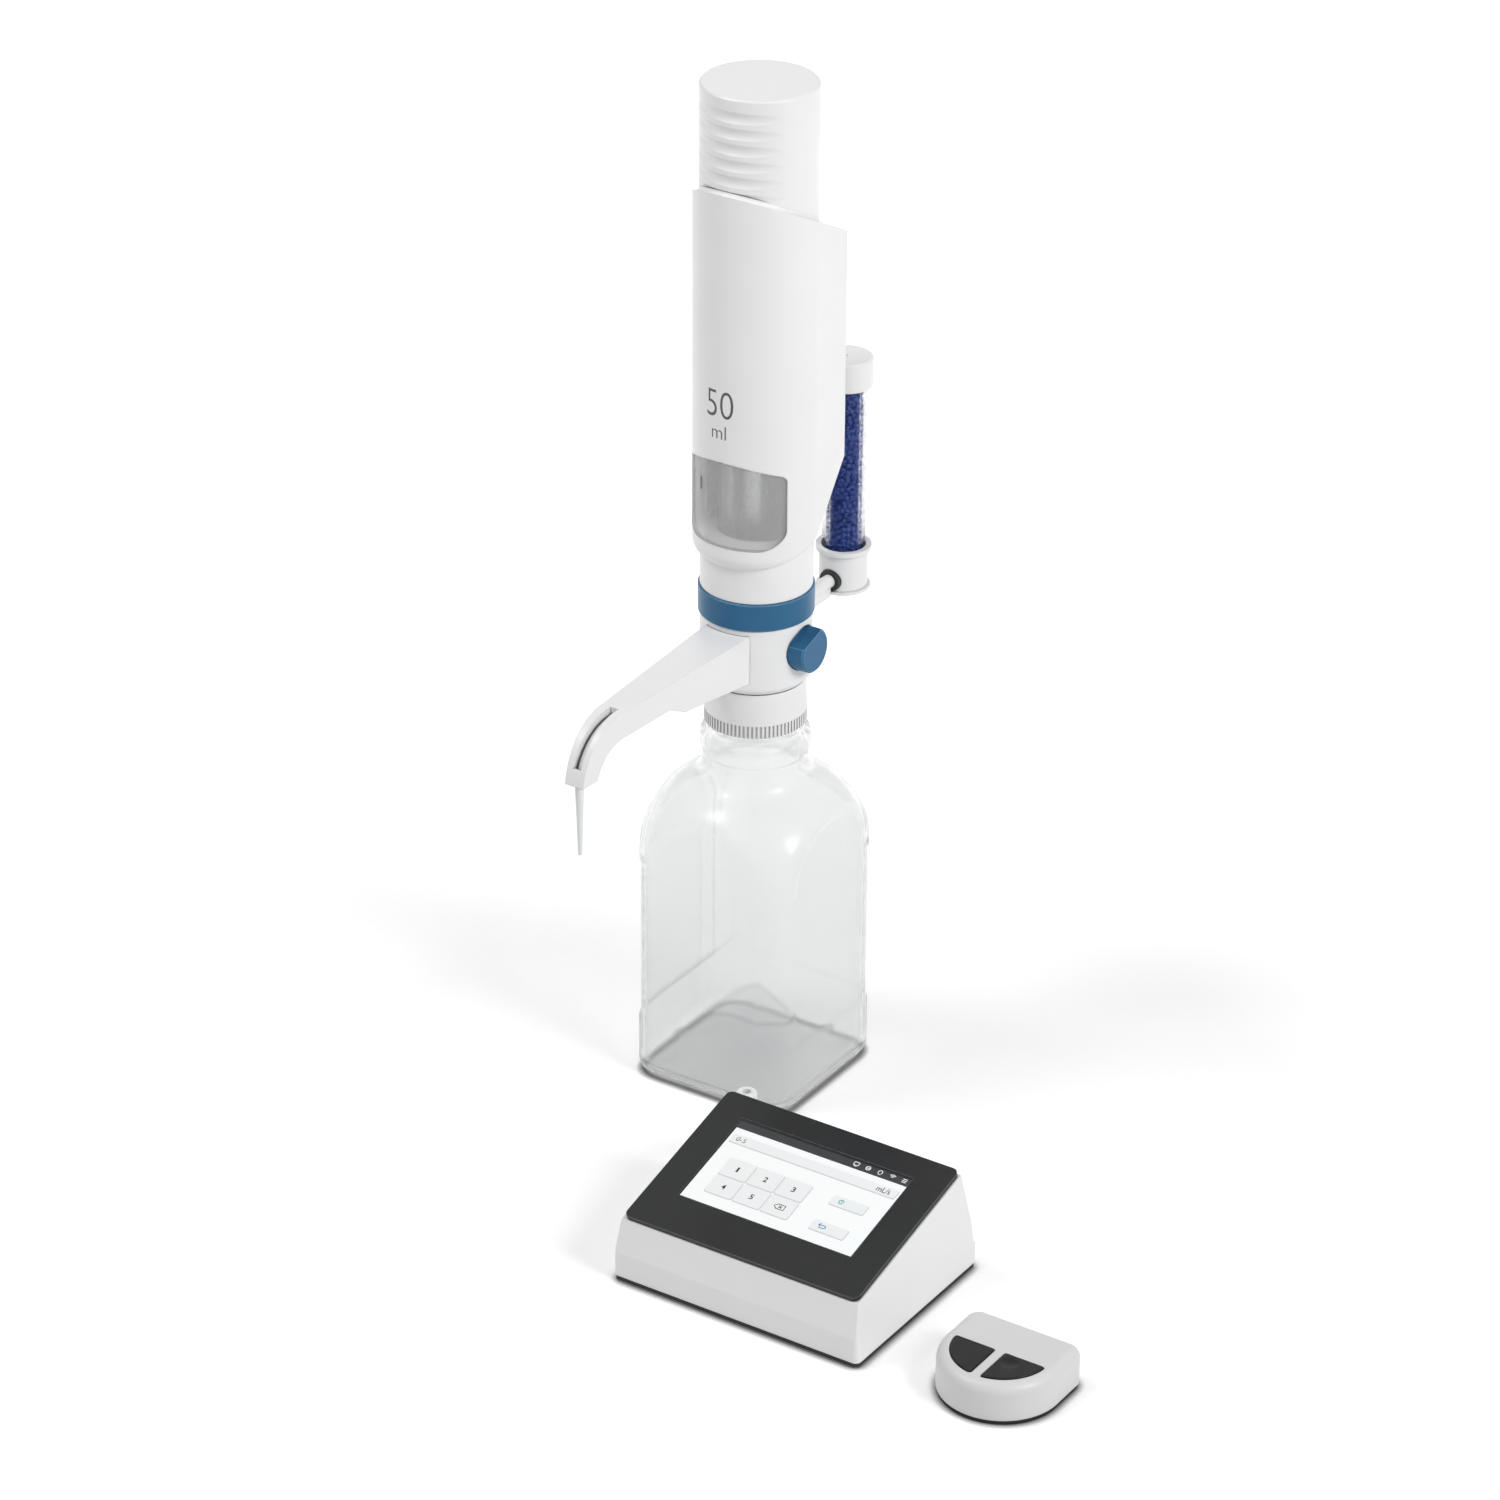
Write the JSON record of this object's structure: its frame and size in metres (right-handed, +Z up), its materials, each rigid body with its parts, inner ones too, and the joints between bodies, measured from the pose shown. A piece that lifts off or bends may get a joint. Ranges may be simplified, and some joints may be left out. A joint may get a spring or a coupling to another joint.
{
  "type": "digital burette",
  "caption": "Motor-driven bottle-top burette with a bent discharge arm, drying tube and turning valve, on a square bottle, with a wedge touch controller and a hand switch.",
  "frame": {"origin": "centre of the bottle's base, on the bench", "axes": "+Z up along the bottle and the column, -Y towards the tip of the discharge arm, +X towards the valve knob"},
  "size_m": [0.3315, 0.3053, 0.5267],
  "materials": {
    "clear_bottle": "clear",
    "clear_plastic": "clear",
    "cylinder_glass": "clear",
    "white_plastic": "satin",
    "blue_plastic": "satin",
    "grey_plastic": "satin",
    "black_plastic": "matt",
    "dark_button": "matt",
    "dark_glass": "gloss",
    "display": "gloss",
    "fluoropolymer": "satin",
    "silica": "beads",
    "rubber": "matt",
    "steel": "ground",
    "aluminium": "satin",
    "brass": "machined",
    "motor_black": "satin",
    "circuit": "lacquered"
  },
  "bodies": {
    "bench": {"bottle": "clear_bottle", "neck_gasket": "rubber", "controller_housing": "white_plastic", "controller_base": "black_plastic", "controller_feet": "rubber", "front_panel": "dark_glass", "touch_screen": "display", "controller_board": "circuit", "link_post": "white_plastic", "power_socket": "black_plastic", "switch_housing": "grey_plastic", "switch_base": "black_plastic", "switch_board": "circuit", "tactile_switches": "black_plastic", "base_screws": "steel"},
    "collar": {"adapter_collar": "white_plastic"},
    "head": {"valve_block": "white_plastic", "suction_nipple": "fluoropolymer", "intake_valve": "fluoropolymer", "discharge_arm": "white_plastic", "discharge_tube": "fluoropolymer", "nozzle_tip": "fluoropolymer", "vent_pipe": "white_plastic", "port_ring": "black_plastic", "drying_cup": "white_plastic", "drying_tube": "clear_plastic", "desiccant": "silica", "column_sleeve": "white_plastic", "cylinder_seal": "rubber", "glass_cylinder": "cylinder_glass", "cylinder_clamp": "aluminium", "guide_rods": "steel", "bearing_plate": "aluminium", "screw_bearing": "steel", "plate_spacers": "steel", "motor_plate": "aluminium", "drive_motor": "motor_black", "housing_shell": "white_plastic", "window_shield": "clear_plastic", "rear_cover": "white_plastic", "cover_screws": "steel", "head_socket": "black_plastic", "main_board": "circuit", "top_cap": "white_plastic"},
    "ring": {"locking_ring": "blue_plastic"},
    "valve": {"valve_spindle": "fluoropolymer", "valve_knob": "blue_plastic"},
    "piston_set": {"piston": "fluoropolymer", "piston_seals": "rubber", "piston_rod": "steel", "drive_nut": "brass"},
    "screw": {"lead_screw": "steel", "motor_coupling": "aluminium", "motor_shaft": "steel"},
    "vent_cap": {"drying_cap": "white_plastic"},
    "intake_check": {"intake_ball": "steel"},
    "discharge_check": {"discharge_ball": "steel"},
    "button_left": {"left_button": "dark_button"},
    "button_right": {"right_button": "dark_button"}
  },
  "joints": [
    {"name": "collar_turn", "type": "hinge", "parent": "bench", "child": "collar", "pos_m": [0, 0, 0.208], "axis": [0, 0, 1], "continuous": true},
    {"name": "head_swivel", "type": "hinge", "parent": "bench", "child": "head", "pos_m": [0, 0, 0.214], "axis": [0, 0, 1], "continuous": true},
    {"name": "ring_turn", "type": "hinge", "parent": "head", "child": "ring", "pos_m": [0, 0, 0.2627], "axis": [0, 0, 1], "range_deg": [0, 45]},
    {"name": "piston_travel", "type": "slide", "parent": "head", "child": "piston_set", "axis": [0, 0, 1], "range_m": [0, 0.055]},
    {"name": "screw_turn", "type": "hinge", "parent": "head", "child": "screw", "pos_m": [0, 0, 0.44], "axis": [0, 0, 1], "range_deg": [-2480, 0]},
    {"name": "valve_turn", "type": "hinge", "parent": "head", "child": "valve", "pos_m": [0.02, 0, 0.241], "axis": [1, 0, 0], "range_deg": [0, 90]},
    {"name": "vent_cap_lift", "type": "slide", "parent": "head", "child": "vent_cap", "axis": [0, 0, 1], "range_m": [0, 0.016]},
    {"name": "intake_ball_lift", "type": "slide", "parent": "head", "child": "intake_check", "axis": [0, 0, 1], "range_m": [0, 0.001]},
    {"name": "discharge_ball_lift", "type": "slide", "parent": "head", "child": "discharge_check", "axis": [0, 0, 1], "range_m": [0, 0.001]},
    {"name": "left_button_press", "type": "slide", "parent": "bench", "child": "button_left", "axis": [0, 0, -1], "range_m": [0, 0.0012], "stiffness_N_per_m": 600, "springref_m": -0.0006},
    {"name": "right_button_press", "type": "slide", "parent": "bench", "child": "button_right", "axis": [0, 0, -1], "range_m": [0, 0.0012], "stiffness_N_per_m": 600, "springref_m": -0.0006}
  ],
  "couplings": [
    {"joint": "screw_turn", "follows": "piston_travel", "rad_per_m": -785.4}
  ]
}
